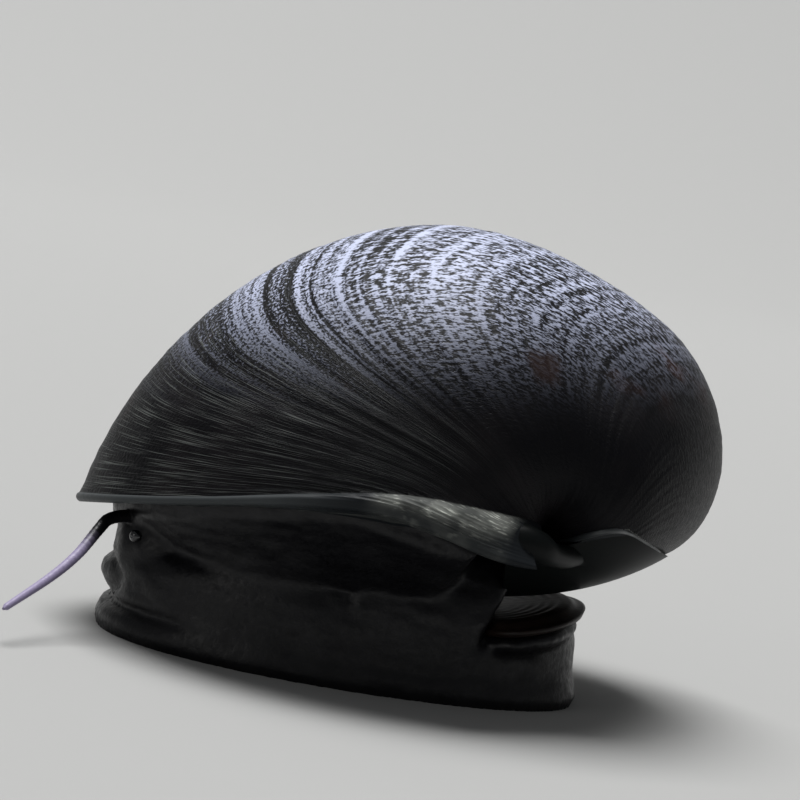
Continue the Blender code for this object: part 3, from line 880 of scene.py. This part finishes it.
def fused(lobes):
    """The overlapping lobes made one even skin, and softened where they meet."""
    bm = bmesh.new()
    for lobe in lobes:
        bm.from_mesh(lobe.data)
        bpy.data.objects.remove(lobe)
    bmesh.ops.scale(bm, verts=bm.verts, vec=[1 / MM] * 3)
    one = add_object("skin", bm)
    grid = one.modifiers.new("fuse", "REMESH")
    grid.mode = "VOXEL"
    grid.voxel_size = SKIN_GRID
    bpy.context.view_layer.update()
    graph = bpy.context.evaluated_depsgraph_get()
    one.data = bpy.data.meshes.new_from_object(one.evaluated_get(graph), depsgraph=graph)
    one.modifiers.clear()
    bm = bmesh.new()
    bm.from_mesh(one.data)
    every_way = {"use_axis_x": True, "use_axis_y": True, "use_axis_z": True}
    for _ in range(SKIN_SOFTENING):
        bmesh.ops.smooth_vert(bm, verts=bm.verts, factor=0.5, **every_way)
    bmesh.ops.scale(bm, verts=bm.verts, vec=[MM] * 3)
    wrinkle(bm)
    bm.to_mesh(one.data)
    bm.free()
    return one


def head_groove(place):
    """How deep in mm the creases lie that set off the head from the foot, and the snout from it."""
    under = math.exp(-(((place.z - CHIN_HEIGHT) / 0.2) ** 2)) * eased(-place.x, 5.0, 7.5)
    across, up = place.y / 2.7, (place.z - SNOUT_PLACE.z / MM) / 0.9
    ring = math.exp(-(((math.hypot(across, up) - 1.0) / 0.14) ** 2)) * eased(-place.x, 8.0, 8.8)
    return max(CHIN_DEPTH * under, SNOUT_CREASE_DEPTH * ring)


def wrinkle(bm):
    """Soft folds round the body and pebbling over it, none of them on the flat sole."""
    bm.normal_update()
    for corner in bm.verts:
        place = corner.co / MM
        fold = noise.noise(Vector((place.x * 0.9, place.y * 0.9, place.z * 2.6)))
        pebble = noise.noise(place * 3.2)
        lift = eased(place.z, 0.1, 0.8) * (FOLD_DEPTH * fold + PEBBLE_DEPTH * pebble)
        corner.co += corner.normal * (lift - head_groove(place)) * MM
        if place.z < 0.12 and corner.normal.z < 0:
            corner.co.z = 0.0
        corner.co.z = max(corner.co.z, 0.0)


def feeler(path):
    """A tapering feeler with faint rings round it, from inside the head to its tip."""
    curve = evenly(smooth_curve([Vector(point) * MM for point in path], 16), FEELER_POINTS)
    radii = []
    for step in range(FEELER_POINTS):
        share = step / (FEELER_POINTS - 1)
        radius = FEELER_ROOT_RADIUS + (FEELER_TIP_RADIUS - FEELER_ROOT_RADIUS) * share
        radius *= 1 + 0.02 * math.sin(step * 1.4)
        radii.append(radius * math.sqrt(1 - eased(share, 0.975, 1.0) * 0.85))
    return add_object("feeler", tube(curve, radii, 20)), curve


def feeler_share(made, curves):
    """Stores how far along a feeler each place of the skin is, and 0 on the rest."""
    share = made.data.attributes.new("feeler", "FLOAT", "POINT")
    for n, vertex in enumerate(made.data.vertices):
        best = 0.0
        if vertex.co.y < -2.5 * MM or vertex.co.y > 2.5 * MM:
            for curve in curves:
                away = [(point - vertex.co).length for point in curve[::6]]
                if min(away) < 0.6 * MM:
                    best = max(best, away.index(min(away)) * 6 / (FEELER_POINTS - 1))
        share.data[n].value = best


def wet_black_skin():
    """Moist black flesh, finely pebbled; the feelers fade to lavender towards the tip."""
    finish = Finish("flesh_black")
    along = finish.attribute("feeler")
    pebble = finish.noise(finish.place(), 5200.0, 3.0, 0.6)
    mottle = finish.noise(finish.place(), 700.0, 3.0)
    flesh = finish.blend(finish.ramp(mottle, 0.4, 0.75), *FLESH_BLACK)
    colour = finish.blend(finish.ramp(along, 0.33, 0.52), flesh, FEELER_LAVENDER)
    finish.set(Base_Color=colour, Roughness=finish.ramp(pebble, 0.3, 0.7, 0.32, 0.5))
    finish.shader.inputs["Specular IOR Level"].default_value = 0.26
    finish.bump(pebble, 0.02 * MM)
    return finish.material


lobes = [foot_lobe(), neck_lobe(), mantle_lobe(), head_lobe()]
lobes += [saddle_lobe(), lid_lobe()]
lobes.append(add_object("snout_lobe", blob(SNOUT_PLACE, SNOUT_HALF_SIZE, 32, 48)))
for stalk in (LEFT_STALK, RIGHT_STALK):
    lobes.append(add_object("stalk_lobe", blob(stalk, [STALK_RADIUS / MM * 1.1] * 3)))
skin = fused(lobes)
slit = add_object("slit", blob(SLIT_PLACE, SLIT_HALF_SIZE))
boolean(skin, [slit], "DIFFERENCE")
left_feeler, left_curve = feeler(LEFT_FEELER)
right_feeler, right_curve = feeler(RIGHT_FEELER)
boolean(skin, [left_feeler, right_feeler], "UNION")
feeler_share(skin, (left_curve, right_curve))
skin.data.materials.clear()
skin.data.materials.append(wet_black_skin())
skin.data.shade_smooth()
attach(skin, "root")
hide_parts("foot_sole", "foot", "neck", "mantle", "head", "snout")
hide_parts("eye_stalk_left", "eye_stalk_right")
for side in ("left", "right"):
    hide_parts(*(f"tentacle_{side}_{length}" for length in ("base", "mid", "tip")))

# The lid: a half-moon plate of dark brown horn, grown in curved steps from near its straight
# edge. It is stuck to the pad on the tail, and shuts the mouth when the animal withdraws.
LID_PLACE = Vector((6.85, -0.4, 3.0)) * MM
LID_THICKNESS = 0.7 * MM
LID_HALF_WIDTH = 4.7 * MM
LID_AHEAD = 2.1 * MM
LID_BEHIND = 2.7 * MM
LID_RINGS = 46
LID_RIDGE = 0.03
LID_BROWN = ((0.006, 0.004, 0.0035), (0.018, 0.01, 0.007))


def lid_outline(size, height):
    """The half-moon at a share of its full size, growing out from near its front edge."""
    points = []
    for step in range(144):
        turn = 2 * math.pi * step / 144
        reach = LID_BEHIND if math.cos(turn) > 0 else LID_AHEAD
        x = math.cos(turn) * reach * size - (1 - size) * LID_AHEAD * 0.6
        points.append(Vector((x, math.sin(turn) * LID_HALF_WIDTH * size, height)))
    return points


def lid():
    """A bevelled plate with growth steps, tilted with the tail."""
    rings = [lid_outline(0.9, 0.0), lid_outline(0.97, 0.05 * LID_THICKNESS)]
    for step in range(LID_RINGS):
        share = step / (LID_RINGS - 1)
        edge = math.sqrt(1 - eased(share, 0.0, 0.12) * 0.02)
        height = 0.35 + 0.5 * eased(share, 0.0, 0.2)
        height += LID_RIDGE * math.sin(share * 60) * (1 - share)
        rings.append(lid_outline((1 - 0.97 * share) * edge, height * LID_THICKNESS))
    bm = loft(rings)
    bmesh.ops.rotate(bm, verts=bm.verts, matrix=Matrix.Rotation(-TAIL_SLOPE, 3, "Y"))
    bmesh.ops.translate(bm, verts=bm.verts, vec=LID_PLACE)
    return add_object("lid", bm, lid_brown())


def lid_brown():
    """Dark red-brown horn, mottled."""
    finish = Finish("lid_brown")
    mottle = finish.noise(finish.place(), 500.0, 3.0)
    colour = finish.blend(finish.ramp(mottle, 0.35, 0.7), *LID_BROWN)
    finish.set(Base_Color=colour, Roughness=0.4)
    finish.shader.inputs["Specular IOR Level"].default_value = 0.2
    finish.bump(finish.noise(finish.place(), 3000.0, 2.0), 0.02 * MM)
    return finish.material


made_lid = lid()
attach(made_lid, "root")
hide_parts("operculum")

# The eyes: two wet black beads, each sunk by half in the tip of its short stalk beside a
# feeler. A bead is a ball of clear jelly over black pigment, so it shines more than the skin.
EYE_BLACK = (0.003, 0.003, 0.004)
EYE_STANDS_OUT = 0.3 * MM


def eye_black():
    """A clear, wet gloss over black."""
    finish = Finish("eye_black")
    finish.set(Base_Color=EYE_BLACK, Roughness=0.08)
    finish.shader.inputs["Coat Weight"].default_value = 0.5
    finish.shader.inputs["Coat Roughness"].default_value = 0.03
    return finish.material


eye_finish = eye_black()
for side, stalk, look in (("left", LEFT_STALK, LEFT_LOOK), ("right", RIGHT_STALK, RIGHT_LOOK)):
    centre = stalk + look * (STALK_RADIUS + EYE_STANDS_OUT + EYE_RADIUS)
    ball = blob(centre, [EYE_RADIUS / MM] * 3, 24, 36)
    eye = add_object(f"eye_bead_{side}", ball, eye_finish)
    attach(eye, "root")
    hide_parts(f"eye_{side}")

# The photographer's setting: one pale seamless sheet that sweeps up far behind, one broad
# soft lamp high overhead, and weaker soft light from the front and left.
SWEEP_FRONT = -1.2
SWEEP_START = 0.5
SWEEP_RADIUS = 0.6
SWEEP_STEPS = 40
SWEEP_TOP = 2.4
SWEEP_HALF_WIDTH = 2.5
SHEET_GREY = (0.36, 0.36, 0.355)
ROOM_COLOUR = (0.85, 0.87, 0.9, 1.0)
ROOM_STRENGTH = 0.18
LIT_PLACE = Vector((0, 0, 0.008))
OVERHEAD_WATTS = 48.0
FRONT_WATTS = 0.12


def studio():
    """The sheet, and the even light of the room round it."""
    pale = Finish("studio_pale")
    pale.set(Base_Color=SHEET_GREY, Roughness=0.9)
    pale.shader.inputs["Specular IOR Level"].default_value = 0.0
    profile = [(SWEEP_FRONT, 0.0), (SWEEP_START, 0.0)]
    for step in range(1, SWEEP_STEPS + 1):
        turn = math.radians(90) * step / SWEEP_STEPS
        rise = SWEEP_RADIUS * (1 - math.cos(turn))
        profile.append((SWEEP_START + SWEEP_RADIUS * math.sin(turn), rise))
    profile.append((SWEEP_START + SWEEP_RADIUS, SWEEP_TOP))
    bm = bmesh.new()
    bmesh.ops.create_grid(bm, x_segments=1, y_segments=len(profile) - 1, size=1.0)
    corners = sorted(bm.verts, key=lambda v: (round(v.co.y * 100), v.co.x))
    for n, corner in enumerate(corners):
        y, z = profile[n // 2]
        corner.co = (SWEEP_HALF_WIDTH * (n % 2 * 2 - 1), y, z)
    add_object("floor", bm, pale.material)
    world = bpy.data.worlds.new("soft_room")
    bpy.context.scene.world = world
    world.use_nodes = True
    background = world.node_tree.nodes["Background"]
    background.inputs["Color"].default_value = ROOM_COLOUR
    background.inputs["Strength"].default_value = ROOM_STRENGTH


def soft_light(name, place, size, watts, colour):
    """A square lamp that faces the animal."""
    light = bpy.data.lights.new(name, "AREA")
    light.size = size
    light.energy = watts
    light.color = colour
    lamp = bpy.data.objects.new(name, light)
    lamp.location = place
    lamp.rotation_euler = (LIT_PLACE - lamp.location).to_track_quat("-Z", "Y").to_euler()
    bpy.context.scene.collection.objects.link(lamp)


studio()
soft_light("overhead", (-0.2, 0.34, 1.7), 1.09, OVERHEAD_WATTS, (1.0, 1.0, 1.0))
soft_light("front", (-0.25, -0.3, 0.15), 0.2, FRONT_WATTS, (1.0, 0.98, 0.95))
bpy.context.scene.view_settings.view_transform = "Standard"

# The camera: level with the rim of the shell and a hand's breadth away. It turns with the
# animal, so the shell keeps its tilt in the picture.
CAMERA_RISE = math.radians(1.0)
CAMERA_DISTANCE = 110 * MM
CAMERA_AIM = Vector((12.753, 3.0, 3.927)) * MM
PIXELS_PER_MM = 24.7
FRAME_HALF_WIDTH = 400 / PIXELS_PER_MM * MM
away = Vector((0, -math.cos(CAMERA_RISE), math.sin(CAMERA_RISE)))
turn = RIM_TO_WORLD.to_3x3()
look, upright = turn @ -away, turn @ Vector((0, math.sin(CAMERA_RISE), math.cos(CAMERA_RISE)))
camera_data = bpy.data.cameras.new("camera")
camera_data.sensor_width = 36
camera_data.angle = 2 * math.atan(FRAME_HALF_WIDTH / CAMERA_DISTANCE)
camera_data.clip_start = 0.001
camera = bpy.data.objects.new("camera", camera_data)
matrix = Matrix((look.cross(upright), upright, -look)).transposed().to_4x4()
matrix.translation = RIM_TO_WORLD @ (CAMERA_AIM + away * CAMERA_DISTANCE)
camera.matrix_world = matrix
bpy.context.scene.collection.objects.link(camera)
bpy.context.scene.camera = camera
